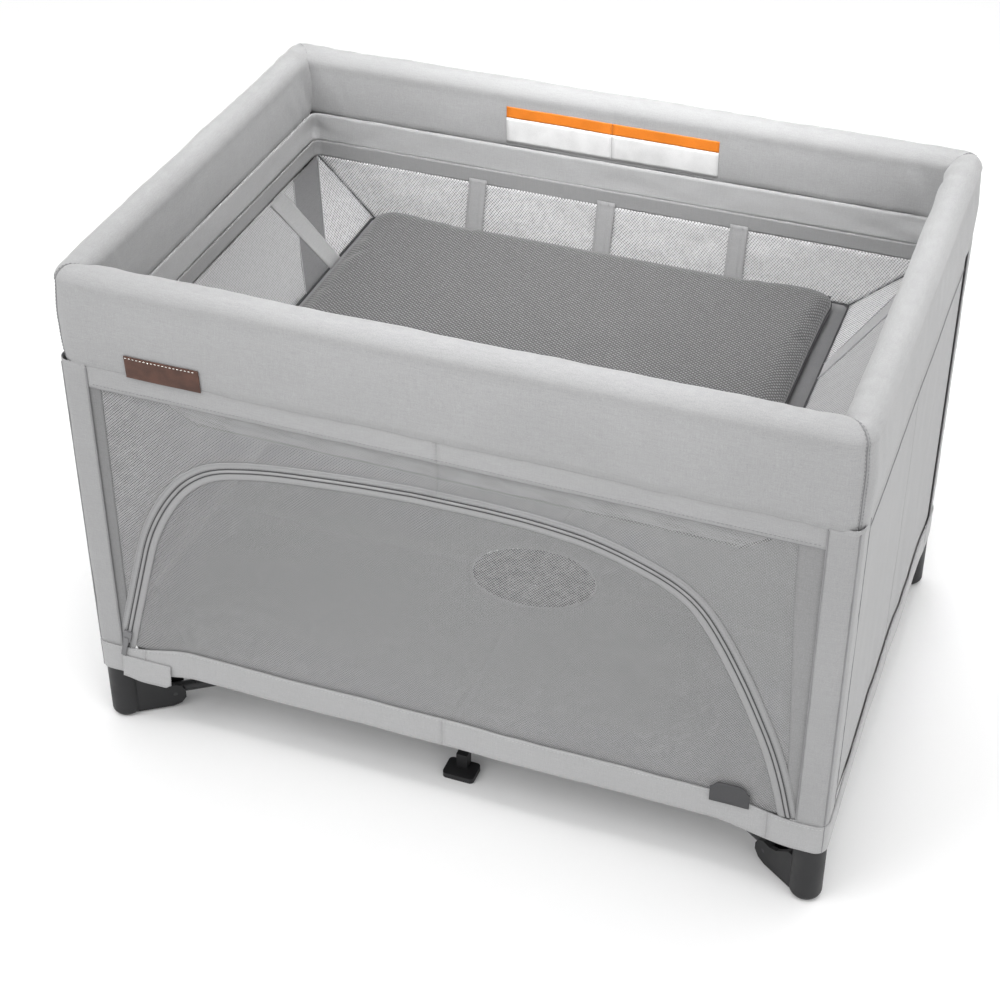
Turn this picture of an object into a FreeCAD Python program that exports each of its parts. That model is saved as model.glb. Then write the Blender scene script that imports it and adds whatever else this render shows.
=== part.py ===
# Travel play yard: folding frame, soft walls, lift-out bassinet and mattress.
# Frame: origin on the floor at the centre of the base, +X along the length, +Y to the back, +Z up.
# All sizes are in millimetres.
import FreeCAD
import Part
import Sketcher
import math
import os

Vec = FreeCAD.Vector
UP = Vec(0, 0, 1)

doc = FreeCAD.newDocument("play_yard")

# ---------------------------------------------------------------- driving dimensions
DIMS = {
    # frame layout
    "post_x": 497.0,            # corner post centre from the middle, along the length
    "post_y": 341.0,            # corner post centre from the middle, along the width
    "foot_reach": 68.0,         # post centre to the base tube's pivot
    "hub_reach": 56.0,          # hub centre to a base tube's pivot
    "link_half": 24.0,          # centre of a rail to a rail half's inner pivot
    "base_level": 24.0,         # height of the base tubes
    "rail_level": 690.0,        # height of the rail tubes
    # tubes and pins
    "post_radius": 9.5,
    "base_radius": 8.0,
    "rail_radius": 10.0,
    "wall_thickness": 1.2,
    "pin_radius": 3.0,
    "pin_clear": 0.1,
    "pin_loose": 0.6,           # clearance at the four pivots where the linkage is open
    "pin_length": 30.6,
    "lug_length": 16.0,
    "spigot_length": 22.0,
    "spigot_clear": 0.1,
    # corner feet
    "foot_radius": 21.5,
    "foot_height": 92.0,
    "foot_round": 10.0,
    "neck_radius": 15.0,
    "neck_height": 58.0,
    "arm_width": 31.0,
    "base_slot": 18.4,
    # corner brackets and centre latches
    "bracket_width": 32.0,
    "boss_radius": 14.0,
    "bracket_height": 74.0,
    "bracket_arm_height": 42.0,
    "rail_slot": 21.0,
    "latch_half": 38.0,
    "latch_height": 31.0,
    "button_length": 20.0,
    "button_width": 16.0,
    "button_height": 12.0,
    # hub
    "hub_radius": 75.0,
    "hub_height": 36.0,
    "hub_neck_radius": 30.0,
    "hub_neck_height": 34.0,
    "stem_radius": 8.0,
    "handle_length": 110.0,
    "handle_width": 22.0,
    "handle_height": 14.0,
    # middle supports
    "mid_pivot": 50.0,
    "mid_foot": 285.0,
    "pad_length": 46.0,
    "pad_width": 34.0,
    "pad_height": 8.0,
    # padded rail cover
    "cover_width": 46.0,
    "cover_height": 140.0,
    "cover_bottom": 602.0,
    "cover_round": 18.0,
    "cover_leg": 5.0,
    "cover_roof": 26.0,
    "cover_gap": 1.0,
    "corner_round": 30.0,       # plan radius of the padded cover at the corners
    # walls and floor
    "wall_skin": 2.0,
    "wall_bottom": 94.0,
    "wall_height": 506.0,
    "side_wall_length": 1024.0,
    "end_wall_length": 704.0,
    "side_wall_face": 358.5,
    "end_wall_face": 514.5,
    "floor_length": 970.0,
    "floor_width": 656.0,
    "floor_level": 116.0,
    "floor_skin": 3.0,
    "port_major": 95.0,
    "port_minor": 68.0,
    # bassinet and mattress
    "tub_bottom": 494.0,
    "tub_top": 650.0,
    "tub_low_x": 372.0,
    "tub_low_y": 298.0,
    "tub_high_x": 470.0,
    "tub_high_y": 314.0,
    "tub_skin": 4.0,
    "bar_radius": 6.0,
    "bar_length": 700.0,
    "mattress_length": 724.0,
    "mattress_width": 576.0,
    "mattress_height": 30.0,
    "mattress_round": 12.0,
    # trim
    "tag_length": 104.0,
    "tag_height": 34.0,
    "tag_skin": 1.2,
}

sheet = doc.addObject("Spreadsheet::Sheet", "Dimensions")
sheet.Label = "dims"
for row, (word, value) in enumerate(DIMS.items(), start=1):
    sheet.set(f"A{row}", word)
    sheet.set(f"B{row}", str(value))
    sheet.setAlias(f"B{row}", word)
doc.recompute()


def dim(word):
    return DIMS[word]


# ---------------------------------------------------------------- shape helpers
def bind(obj, **sizes):
    """Bind each property to a formula of the driving dimensions."""
    for prop, formula in sizes.items():
        for word in sorted(DIMS, key=len, reverse=True):
            formula = formula.replace("$" + word, "<<dims>>." + word)
        obj.setExpression(prop, formula)
    return obj


def place(obj, at=(0, 0, 0), turn=0.0, axis=UP):
    obj.Placement = FreeCAD.Placement(Vec(*at), FreeCAD.Rotation(axis, turn))
    return obj


def box(label, length, width, height, at):
    """A box whose lower corner is at the given point."""
    b = doc.addObject("Part::Box", label)
    b.Label = label
    bind(b, Length=length, Width=width, Height=height)
    return place(b, at)


def rod(label, radius, height, at=(0, 0, 0), along=(0, 0, 1)):
    """A cylinder that starts at the given point."""
    c = doc.addObject("Part::Cylinder", label)
    c.Label = label
    bind(c, Radius=radius, Height=height)
    c.Placement = FreeCAD.Placement(Vec(*at), FreeCAD.Rotation(UP, Vec(*along)))
    return c


def ball(label, radius, at):
    s = doc.addObject("Part::Sphere", label)
    s.Label = label
    bind(s, Radius=radius)
    return place(s, at)


def fuse(label, *shapes):
    f = doc.addObject("Part::MultiFuse", label)
    f.Label = label
    f.Shapes = list(shapes)
    return f


def cut(label, base, *tools):
    c = doc.addObject("Part::Cut", label)
    c.Label = label
    c.Base = base
    c.Tool = tools[0] if len(tools) == 1 else fuse(label + "_tools", *tools)
    return c


def group(label, *shapes):
    g = doc.addObject("Part::Compound", label)
    g.Label = label
    g.Links = list(shapes)
    return g


def fillet(label, base, radius, wanted):
    """Round the edges that the test picks."""
    doc.recompute()
    f = doc.addObject("Part::Fillet", label)
    f.Label = label
    f.Base = base
    f.Edges = [
        (n, radius, radius)
        for n, edge in enumerate(base.Shape.Edges, start=1)
        if wanted(edge)
    ]
    return f


def runs_along(edge, direction):
    if not isinstance(edge.Curve, Part.Line):
        return False
    return abs(edge.Curve.Direction.dot(Vec(*direction))) > 0.999


def padded_profile(label, loops, thickness, midplane):
    """A body made by padding closed loops drawn in the XZ plane."""
    body = doc.addObject("PartDesign::Body", label)
    body.Label = label
    sketch = body.newObject("Sketcher::SketchObject", label + "_sketch")
    sketch.AttachmentSupport = [(body.Origin.OriginFeatures[4], "")]
    sketch.MapMode = "FlatFace"
    for loop in loops:
        first = sketch.GeometryCount
        for a, b in zip(loop, loop[1:] + loop[:1]):
            sketch.addGeometry(Part.LineSegment(Vec(a[0], a[1], 0), Vec(b[0], b[1], 0)), False)
        count = len(loop)
        for n in range(count):
            this, following = first + n, first + (n + 1) % count
            sketch.addConstraint(Sketcher.Constraint("Coincident", this, 2, following, 1))
    pad = body.newObject("PartDesign::Pad", label + "_pad")
    pad.Profile = sketch
    pad.Midplane = midplane
    bind(pad, Length=thickness)
    sketch.Visibility = False
    return body


NODES = []


def node(obj, name):
    """Register a finished sub-part for export."""
    obj.Label = name
    NODES.append((name, obj))
    return obj


# ---------------------------------------------------------------- layout of the linkage
POST = Vec(dim("post_x"), dim("post_y"), 0)
DIAGONAL = math.degrees(math.atan2(POST.y, POST.x))
TUBE_LENGTH = POST.Length - dim("foot_reach") - dim("hub_reach")
RAIL_X = TUBE_LENGTH * math.cos(math.radians(DIAGONAL))
RAIL_Y = TUBE_LENGTH * math.sin(math.radians(DIAGONAL))
PIVOT_X = RAIL_X + dim("link_half")
PIVOT_Y = RAIL_Y + dim("link_half")

CORNERS = {"fl": (-1, -1), "fr": (1, -1), "bl": (-1, 1), "br": (1, 1)}


def inward(sx, sy):
    """Angle about Z from a corner to the centre."""
    return math.degrees(math.atan2(-sy * POST.y, -sx * POST.x))


# ---------------------------------------------------------------- corner feet, posts, brackets
FOOT_ARM = [
    (0, 3), (64, 3), (76, 7), (83, 16), (83, 27), (78, 37), (68, 41),
    (56, 40), (44, 44), (32, 54), (22, 62), (0, 62),
]


def foot(name, sx, sy):
    label = "foot_" + name
    barrel = rod(label + "_barrel", "$foot_radius", "$foot_height")
    barrel = fillet(label + "_barrel_round", barrel, dim("foot_round"),
                    lambda e: e.BoundBox.ZMax < 0.1 and e.BoundBox.XLength > 1)
    neck = rod(label + "_neck", "$neck_radius", "$neck_height + 1", (0, 0, dim("foot_height") - 1))
    arm = padded_profile(label + "_arm", [FOOT_ARM], "$arm_width", True)
    slot_start, slot_floor = 46, 14
    slot = box(label + "_slot", "$foot_reach", "$base_slot", "60",
               (slot_start, -dim("base_slot") / 2, slot_floor))
    recess = box(label + "_recess", "16", "$base_slot", "60", (31, -dim("base_slot") / 2, 34))
    bore = rod(label + "_pivot_bore", "$pin_radius + $pin_clear", "$arm_width + 4",
               (dim("foot_reach"), dim("arm_width") / 2 + 2, dim("base_level")), (0, -1, 0))
    socket = rod(label + "_socket", "$post_radius + $spigot_clear", "120", (0, 0, 60))
    body = fuse(label + "_solid", barrel, neck, arm)
    whole = cut(label, body, slot, recess, bore, socket)
    place(whole, (sx * POST.x, sy * POST.y, 0), inward(sx, sy))
    node(whole, label)


def post(name, sx, sy):
    label = "post_" + name
    base, top = 60.5, 680.0
    outer = rod(label + "_outer", "$post_radius", str(top - base))
    inner = rod(label + "_inner", "$post_radius - $wall_thickness", str(top - base + 2), (0, 0, -1))
    whole = cut(label, outer, inner)
    place(whole, (sx * POST.x, sy * POST.y, base))
    node(whole, label)


def bracket_arm(label, reach, turn):
    """One clevis arm of a corner bracket, open downwards at its end."""
    level, half = dim("rail_level"), dim("bracket_width") / 2
    tip = reach + 12
    solid = box(label + "_beam", str(tip), "$bracket_width", "$bracket_arm_height",
                (0, -half, level - 18))
    slot = box(label + "_slot", str(26 + 14), "$rail_slot", "$rail_radius + 0.8 + 20",
               (reach - 14, -dim("rail_slot") / 2, level - 20))
    bore = rod(label + "_bore", "$pin_radius + $pin_clear", "$bracket_width + 4",
               (reach, half + 2, level), (0, -1, 0))
    arm = cut(label, solid, slot, bore)
    return place(arm, (0, 0, 0), turn)


def bracket(name, sx, sy):
    label = "bracket_" + name
    boss = rod(label + "_boss", "$boss_radius", "$bracket_height", (0, 0, 640))
    arm_x = bracket_arm(label + "_arm_x", POST.x - PIVOT_X, 180 if sx > 0 else 0)
    arm_y = bracket_arm(label + "_arm_y", POST.y - PIVOT_Y, -90 if sy > 0 else 90)
    socket = rod(label + "_socket", "$post_radius + $spigot_clear", "42", (0, 0, 639))
    whole = cut(label, fuse(label + "_solid", boss, arm_x, arm_y), socket)
    place(whole, (sx * POST.x, sy * POST.y, 0))
    node(whole, label)


# ---------------------------------------------------------------- tubes with plugged ends
def plug(label, radius, at, facing):
    """A moulded tube end: round lug, cross pin and the spigot inside the tube."""
    away = Vec(facing, 0, 0)
    lug = rod(label + "_lug", radius, "$lug_length", at, away)
    nose = ball(label + "_nose", radius, at)
    spigot = rod(label + "_spigot", radius + " - $wall_thickness - $spigot_clear",
                 "$lug_length + $spigot_length", at, away)
    pin = rod(label + "_pin", "$pin_radius", "$pin_length",
              (at[0], dim("pin_length") / 2, at[2]), (0, -1, 0))
    return fuse(label, nose, lug, spigot, pin)


def plugged_tube(label, radius, length, at, turn):
    """A steel tube from pivot to pivot along the local X axis, with a plug in each end."""
    lug = dim("lug_length")
    span = length - 2 * lug
    outer = rod(label + "_outer", radius, str(span), (lug, 0, 0), (1, 0, 0))
    inner = rod(label + "_inner", radius + " - $wall_thickness", str(span + 2),
                (lug - 1, 0, 0), (1, 0, 0))
    tube = cut(label + "_tube", outer, inner)
    ends = plug(label + "_plug_a", radius, (0, 0, 0), 1), plug(label + "_plug_b", radius, (length, 0, 0), -1)
    whole = group(label, tube, *ends)
    return place(whole, at, turn)


def base_tube(name, sx, sy):
    label = "base_tube_" + name
    share = (POST.Length - dim("foot_reach")) / POST.Length
    at = (sx * POST.x * share, sy * POST.y * share, dim("base_level"))
    node(plugged_tube(label, "$base_radius", TUBE_LENGTH, at, inward(sx, sy)), label)


def rail_halves(name, sx, sy):
    level = dim("rail_level")
    label = f"rail_{name}_long"
    node(plugged_tube(label, "$rail_radius", RAIL_X, (sx * PIVOT_X, sy * POST.y, level),
                      180 if sx > 0 else 0), label)
    label = f"rail_{name}_short"
    node(plugged_tube(label, "$rail_radius", RAIL_Y, (sx * POST.x, sy * PIVOT_Y, level),
                      -90 if sy > 0 else 90), label)


# ---------------------------------------------------------------- rail centre latches
RAILS = {
    "front": (0, -POST.y, 0), "back": (0, POST.y, 0),
    "left": (-POST.x, 0, 90), "right": (POST.x, 0, 90),
}


def latch(name, x, y, turn):
    """The two-pivot housing that joins a rail's halves, and its release button."""
    label = "latch_" + name
    level, half = dim("rail_level"), dim("bracket_width") / 2
    low = level - 14
    shell = box(label + "_shell", "2 * $latch_half", "$bracket_width", "$latch_height",
                (-dim("latch_half"), -half, low))
    shell = fillet(label + "_shell_round", shell, 4.0, lambda e: runs_along(e, (0, 0, 1)))
    tools = []
    for side, clear in ((-1, "$pin_clear"), (1, "$pin_loose")):
        start = 13.0 if side > 0 else -13.0 - 30.0
        tag = f"{label}_{'a' if side < 0 else 'b'}"
        tools.append(box(tag + "_slot", "30", "$rail_slot", "$latch_height",
                         (start, -dim("rail_slot") / 2, level - dim("rail_radius") - 0.6)))
        tools.append(rod(tag + "_bore", "$pin_radius + " + clear, "$bracket_width + 4",
                         (side * dim("link_half"), half + 2, level), (0, -1, 0)))
    tools.append(box(label + "_pocket", "$button_length + 0.8", "$button_width + 0.8", "17.5",
                     (-dim("button_length") / 2 - 0.4, -dim("button_width") / 2 - 0.4, low - 1)))
    housing = cut(label, shell, *tools)
    node(place(housing, (x, y, 0), turn), label)

    press = "button_" + name
    cap = box(press + "_cap", "$button_length", "$button_width", "$button_height",
              (-dim("button_length") / 2, -dim("button_width") / 2, low - 4))
    cap = fillet(press, cap, 1.5, lambda e: e.BoundBox.ZMax < low - 3.9)
    node(place(cap, (x, y, 0), turn), press)


# ---------------------------------------------------------------- base hub and middle supports
def hub():
    level, slot = dim("base_level"), dim("base_slot")
    bottom = 10.0
    disc = rod("hub_disc", "$hub_radius", "$hub_height", (0, 0, bottom))
    disc = fillet("hub_disc_round", disc, 5.0, lambda e: e.BoundBox.ZMin > bottom + 20 and e.BoundBox.XLength > 1)
    neck = rod("hub_neck", "$hub_neck_radius", "$hub_neck_height + 1", (0, 0, bottom + dim("hub_height") - 1))
    pivots = [(f"hub_{name}", math.radians(inward(sx, sy) + 180), dim("hub_reach"))
              for name, (sx, sy) in CORNERS.items()]
    pivots += [("hub_mid_front", -math.pi / 2, dim("mid_pivot")),
               ("hub_mid_back", math.pi / 2, dim("mid_pivot"))]
    tools = []
    for label, angle, reach in pivots:
        inner = box(label + "_slot", "50", "$base_slot", "$base_level + $base_radius + 0.6",
                    (reach - 11, -slot / 2, 0))
        bore = rod(label + "_bore", "$pin_radius + $pin_clear", "$pin_length + 0.8",
                   (reach, dim("pin_length") / 2 + 0.4, level), (0, -1, 0))
        place(tool := fuse(label + "_cut", inner, bore), (0, 0, 0), math.degrees(angle))
        tools.append(tool)
    tools.append(rod("hub_stem_bore", "$stem_radius + 0.3", "40", (0, 0, 56)))
    node(cut("hub", fuse("hub_solid", disc, neck), *tools), "hub")

    stem = rod("handle_stem", "$stem_radius", "30", (0, 0, 57))
    bar = box("handle_bar", "$handle_length", "$handle_width", "$handle_height",
              (-dim("handle_length") / 2, -dim("handle_width") / 2, 86))
    bar = fillet("handle_bar_round", bar, 6.0, lambda e: runs_along(e, (1, 0, 0)) or runs_along(e, (0, 0, 1)))
    node(fuse("fold_handle", stem, bar), "fold_handle")


def middle_support(name, side):
    label = "mid_support_" + name
    reach = dim("mid_foot") - dim("mid_pivot")
    lug, level = dim("lug_length"), dim("base_level")
    span = reach - lug - 6
    outer = rod(label + "_outer", "$base_radius", str(span), (lug, 0, 0), (1, 0, 0))
    inner = rod(label + "_inner", "$base_radius - $wall_thickness", str(span + 2),
                (lug - 1, 0, 0), (1, 0, 0))
    tube = cut(label + "_tube", outer, inner)
    root = plug(label + "_plug", "$base_radius", (0, 0, 0), 1)
    column = box(label + "_column", "16", "16", "$base_level + 8", (reach - 5.8, -8, -level))
    pad = box(label + "_pad", "$pad_width", "$pad_length", "$pad_height",
              (reach - 6, -dim("pad_length") / 2, -level))
    pad = fillet(label + "_pad_round", pad, 6.0, lambda e: runs_along(e, (0, 0, 1)))
    shoe = fuse(label + "_shoe", column, pad)
    whole = group(label, tube, root, shoe)
    node(place(whole, (0, side * dim("mid_pivot"), level), side * 90.0), label)


# ---------------------------------------------------------------- padded rail cover
def cover_bar(label, length):
    """A straight run of cover along local X: rounded on top, open underneath for the frame."""
    half = dim("cover_width") / 2
    block = box(label + "_block", length, "$cover_width", "$cover_height", (0, -half, dim("cover_bottom")))
    top = dim("cover_bottom") + dim("cover_height")
    return fillet(label + "_round", block, dim("cover_round"),
                  lambda e: runs_along(e, (1, 0, 0)) and e.BoundBox.ZMin > top - 0.1)


def channel(label, length, start):
    half = dim("cover_width") / 2 - dim("cover_leg")
    return box(label, length, "$cover_width - 2 * $cover_leg", "$cover_height - $cover_roof + 1",
               (start, -half, dim("cover_bottom") - 1))


def cover_half(name, kind, reach, at, turn):
    label = f"cover_{name}_{kind}"
    run = reach - 2 * dim("cover_gap")
    bar = cover_bar(label + "_bar", str(run))
    whole = cut(label, bar, channel(label + "_channel", str(run + 2), -1))
    node(place(whole, at, turn), label)


def rounded_prism(label, sx, sy, reach, radius):
    """A tall block with its outward vertical edge rounded; reach is from the post to its outer faces."""
    size = 140
    at = (reach - size if sx > 0 else -reach, reach - size if sy > 0 else -reach, dim("cover_bottom") - 10)
    block = box(label + "_block", str(size), str(size), "$cover_height + 20", at)
    return fillet(label, block, radius, lambda e: runs_along(e, (0, 0, 1))
                  and e.BoundBox.Center.x * sx > reach - 1 and e.BoundBox.Center.y * sy > reach - 1)


def common(label, base, tool):
    c = doc.addObject("Part::Common", label)
    c.Label = label
    c.Base, c.Tool = base, tool
    return c


def cover_corner(name, sx, sy):
    label = "cover_corner_" + name
    half, gap = dim("cover_width") / 2, dim("cover_gap")
    parts, hollows = [], []
    for tag, reach, turn in (("x", POST.x - PIVOT_X, 180 if sx > 0 else 0),
                             ("y", POST.y - PIVOT_Y, -90 if sy > 0 else 90)):
        run = reach - gap + half
        bar = cover_bar(f"{label}_{tag}", str(run))
        hollow = channel(f"{label}_{tag}_channel", str(run - dim("cover_leg") + 1), dim("cover_leg"))
        start = FreeCAD.Rotation(UP, turn).multVec(Vec(-half, 0, 0))
        parts.append(place(bar, (start.x, start.y, 0), turn))
        hollows.append(place(hollow, hollow_start(hollow, start, turn), turn))
    leg, radius = dim("cover_leg"), dim("corner_round")
    outer = common(label + "_outer", fuse(label + "_solid", *parts),
                   rounded_prism(label + "_outer_prism", sx, sy, half, radius))
    inner = common(label + "_inner", fuse(label + "_hollow", *hollows),
                   rounded_prism(label + "_inner_prism", sx, sy, half - leg, radius - leg))
    whole = cut(label, outer, inner)
    place(whole, (sx * POST.x, sy * POST.y, 0))
    node(whole, label)


def hollow_start(hollow, start, turn):
    """Where a channel's own corner goes once it is turned with its bar."""
    corner = FreeCAD.Rotation(UP, turn).multVec(hollow.Placement.Base)
    return (corner.x + start.x, corner.y + start.y, corner.z)


# ---------------------------------------------------------------- walls, door, floor
DOOR_ARCH = [
    (-482, 102), (-471, 147), (-452, 225), (-418, 342), (-388, 408), (-347, 459), (-309, 484),
    (-250, 498), (-188, 507), (-51, 516), (81, 520), (150, 517), (209, 509), (273, 488),
    (310, 470), (337, 450), (365, 410), (393, 355), (439, 251), (466, 149), (478, 102),
]
DOOR_GAP = 1.2


def shrunk(points, gap):
    """The door's outline, pulled in from the wall's opening by the gap on every side."""
    middle = Vec(0, 300, 0)
    out = []
    for x, z in points:
        away = (Vec(x, z, 0) - middle).normalize()
        out.append((x - away.x * gap * 1.8, z - away.y * gap * 1.8))
    return out


def walls():
    low, high = dim("wall_bottom"), dim("wall_bottom") + dim("wall_height")
    half = dim("side_wall_length") / 2
    outline = [(-half, low), (half, low), (half, high), (-half, high)]
    front = padded_profile("wall_front", [outline, DOOR_ARCH], "$wall_skin", False)
    place(front, (0, -dim("side_wall_face"), 0))
    node(front, "wall_front")
    door = padded_profile("door_panel", [shrunk(DOOR_ARCH, DOOR_GAP)], "$wall_skin", False)
    place(door, (0, -dim("side_wall_face"), 0))
    node(door, "door_panel")
    back = box("wall_back", "$side_wall_length", "$wall_skin", "$wall_height",
               (-half, dim("side_wall_face"), low))
    node(back, "wall_back")
    end = dim("end_wall_length") / 2
    face = dim("end_wall_face")
    for name, x in (("left", -face - dim("wall_skin")), ("right", face)):
        node(box("wall_" + name, "$wall_skin", "$end_wall_length", "$wall_height", (x, -end, low)),
             "wall_" + name)


def floor():
    body = doc.addObject("PartDesign::Body", "floor")
    sketch = body.newObject("Sketcher::SketchObject", "floor_sketch")
    sketch.AttachmentSupport = [(body.Origin.OriginFeatures[3], "")]
    sketch.MapMode = "FlatFace"
    half_l, half_w = dim("floor_length") / 2, dim("floor_width") / 2
    corners = [(-half_l, -half_w), (half_l, -half_w), (half_l, half_w), (-half_l, half_w)]
    for a, b in zip(corners, corners[1:] + corners[:1]):
        sketch.addGeometry(Part.LineSegment(Vec(*a, 0), Vec(*b, 0)), False)
    for n in range(4):
        sketch.addConstraint(Sketcher.Constraint("Coincident", n, 2, (n + 1) % 4, 1))
    for n in (0, 2):
        sketch.addConstraint(Sketcher.Constraint("Horizontal", n))
        sketch.addConstraint(Sketcher.Constraint("Vertical", n + 1))
    sketch.addConstraint(Sketcher.Constraint("Symmetric", 0, 1, 2, 1, -1, 1))
    across = sketch.addConstraint(Sketcher.Constraint("DistanceX", 0, 1, 0, 2, 2 * half_l))
    deep = sketch.addConstraint(Sketcher.Constraint("DistanceY", 1, 1, 1, 2, 2 * half_w))
    sketch.setExpression(f"Constraints[{across}]", "<<dims>>.floor_length")
    sketch.setExpression(f"Constraints[{deep}]", "<<dims>>.floor_width")
    oval = Part.Ellipse(Vec(0, 0, 0), dim("port_major"), dim("port_minor"))
    sketch.addGeometry(oval, False)
    pad = body.newObject("PartDesign::Pad", "floor_pad")
    pad.Profile = sketch
    bind(pad, Length="$floor_skin")
    sketch.Visibility = False
    place(body, (0, 0, dim("floor_level")))
    node(body, "floor")


# ---------------------------------------------------------------- bassinet and mattress
def frustum(label, low, high, bottom, top):
    """A block whose rectangle widens from bottom to top; sizes are half lengths and widths."""
    w = doc.addObject("Part::Wedge", label)
    w.Label = label
    w.Xmin, w.Xmax = -low[0], low[0]
    w.Zmin, w.Zmax = -low[1], low[1]
    w.X2min, w.X2max = -high[0], high[0]
    w.Z2min, w.Z2max = -high[1], high[1]
    w.Ymin, w.Ymax = bottom, top
    return place(w, (0, 0, 0), 90, Vec(1, 0, 0))


def bassinet():
    skin = dim("tub_skin")
    low = dim("tub_low_x"), dim("tub_low_y")
    high = dim("tub_high_x"), dim("tub_high_y")
    bottom, top = dim("tub_bottom"), dim("tub_top")
    outer = frustum("bassinet_outer", low, high, bottom, top)
    inner = frustum("bassinet_inner", [v - skin for v in low], [v - skin for v in high],
                    bottom + skin, top + 0.01)
    node(cut("bassinet", outer, inner), "bassinet")
    bars = []
    for tag, y in (("front", -150), ("back", 150)):
        outer = rod(f"bar_{tag}_outer", "$bar_radius", "$bar_length",
                    (-dim("bar_length") / 2, y, bottom - 8), (1, 0, 0))
        inner = rod(f"bar_{tag}_inner", "$bar_radius - 1", "$bar_length + 2",
                    (-dim("bar_length") / 2 - 1, y, bottom - 8), (1, 0, 0))
        bars.append(cut(f"bar_{tag}", outer, inner))
    node(group("bassinet_bars", *bars), "bassinet_bars")
    pad = box("mattress_block", "$mattress_length", "$mattress_width", "$mattress_height",
              (-dim("mattress_length") / 2, -dim("mattress_width") / 2, bottom + skin + 0.5))
    pad = fillet("mattress", pad, dim("mattress_round"),
                 lambda e: e.BoundBox.ZMin > bottom + 20 or runs_along(e, (0, 0, 1)))
    node(pad, "mattress")


# ---------------------------------------------------------------- zip slider and leather tag
def trim():
    face = -dim("side_wall_face") - dim("wall_skin")
    body = box("slider_body", "12", "3.4", "18", (-6, -4, -9))
    pull = box("slider_pull", "7", "1.6", "34", (-3.5, -5.4, -36))
    slider = fuse("zip_slider", body, pull)
    place(slider, (-468, face - 0.4, 162), 14, Vec(0, 1, 0))
    node(slider, "zip_slider")
    tag = box("leather_tag", "$tag_length", "$tag_skin", "$tag_height",
              (-418, -POST.y - dim("cover_width") / 2 - 1.5, 603))
    node(tag, "leather_tag")


for name, (sx, sy) in CORNERS.items():
    foot(name, sx, sy)
    post(name, sx, sy)
    bracket(name, sx, sy)
    base_tube(name, sx, sy)
    rail_halves(name, sx, sy)
    cover_corner(name, sx, sy)
    cover_half(name, "long", PIVOT_X, (sx * (PIVOT_X - dim("cover_gap")), sy * POST.y, 0),
               180 if sx > 0 else 0)
    cover_half(name, "short", PIVOT_Y, (sx * POST.x, sy * (PIVOT_Y - dim("cover_gap")), 0),
               -90 if sy > 0 else 90)
for name, (x, y, turn) in RAILS.items():
    latch(name, x, y, turn)
hub()
middle_support("front", -1)
middle_support("back", 1)
walls()
floor()
bassinet()
trim()

# ---------------------------------------------------------------- check and export
doc.recompute()
for obj in doc.Objects:
    if "Invalid" in obj.State or "Error" in obj.State:
        raise RuntimeError(f"{obj.Label} did not recompute: {obj.State}")
os.makedirs("parts", exist_ok=True)
for name, obj in NODES:
    if obj.Shape.isNull() or not obj.Shape.isValid() or not obj.Shape.Solids:
        raise RuntimeError(f"{name} has no valid solid")
    obj.Shape.exportStep(f"parts/{name}.step")
print(f"{len(NODES)} sub-parts written")
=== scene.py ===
# Looks of the travel play yard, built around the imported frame.
# Metres; origin on the floor at the centre of the base, +X along the length, +Y to the back, +Z up.
import math

import bmesh
import bpy
import numpy as np
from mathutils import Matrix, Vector, noise


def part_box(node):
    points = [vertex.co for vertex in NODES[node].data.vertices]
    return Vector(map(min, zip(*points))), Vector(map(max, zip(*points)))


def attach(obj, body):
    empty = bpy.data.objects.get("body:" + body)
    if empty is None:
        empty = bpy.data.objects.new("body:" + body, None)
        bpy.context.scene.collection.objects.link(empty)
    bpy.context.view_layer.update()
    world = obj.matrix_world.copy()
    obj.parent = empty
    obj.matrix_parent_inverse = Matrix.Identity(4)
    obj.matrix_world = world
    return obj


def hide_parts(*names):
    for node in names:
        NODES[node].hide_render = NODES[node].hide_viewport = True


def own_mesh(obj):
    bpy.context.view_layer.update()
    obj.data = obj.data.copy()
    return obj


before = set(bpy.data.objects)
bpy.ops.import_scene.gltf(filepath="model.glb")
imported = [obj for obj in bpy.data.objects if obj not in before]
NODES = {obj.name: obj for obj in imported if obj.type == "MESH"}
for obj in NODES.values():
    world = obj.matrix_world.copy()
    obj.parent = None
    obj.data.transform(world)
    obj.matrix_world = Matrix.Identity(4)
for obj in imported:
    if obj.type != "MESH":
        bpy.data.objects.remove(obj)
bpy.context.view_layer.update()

# ---- layout, from the frame
POST_X, POST_Y = 0.497, 0.341
HALF_COVER = 0.023
RAIL_Z = 0.690
COVER_LOW, COVER_TOP = 0.603, 0.742
INNER_LOW = 0.643
CORNERS = {"fl": (-1, -1), "fr": (1, -1), "bl": (-1, 1), "br": (1, 1)}
PIVOT_X = abs(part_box("cover_corner_fl")[1].x) + 0.001
PIVOT_Y = abs(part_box("cover_corner_fl")[1].y) + 0.001
WALL_Y, WALL_X = 0.3590, 0.5150
INNER_X, INNER_Y = 0.478, 0.322
HEM_LOW, HEM_TOP, HEM_TALL = 0.0935, 0.142, 0.046
BAND_LOW = 0.574


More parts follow.
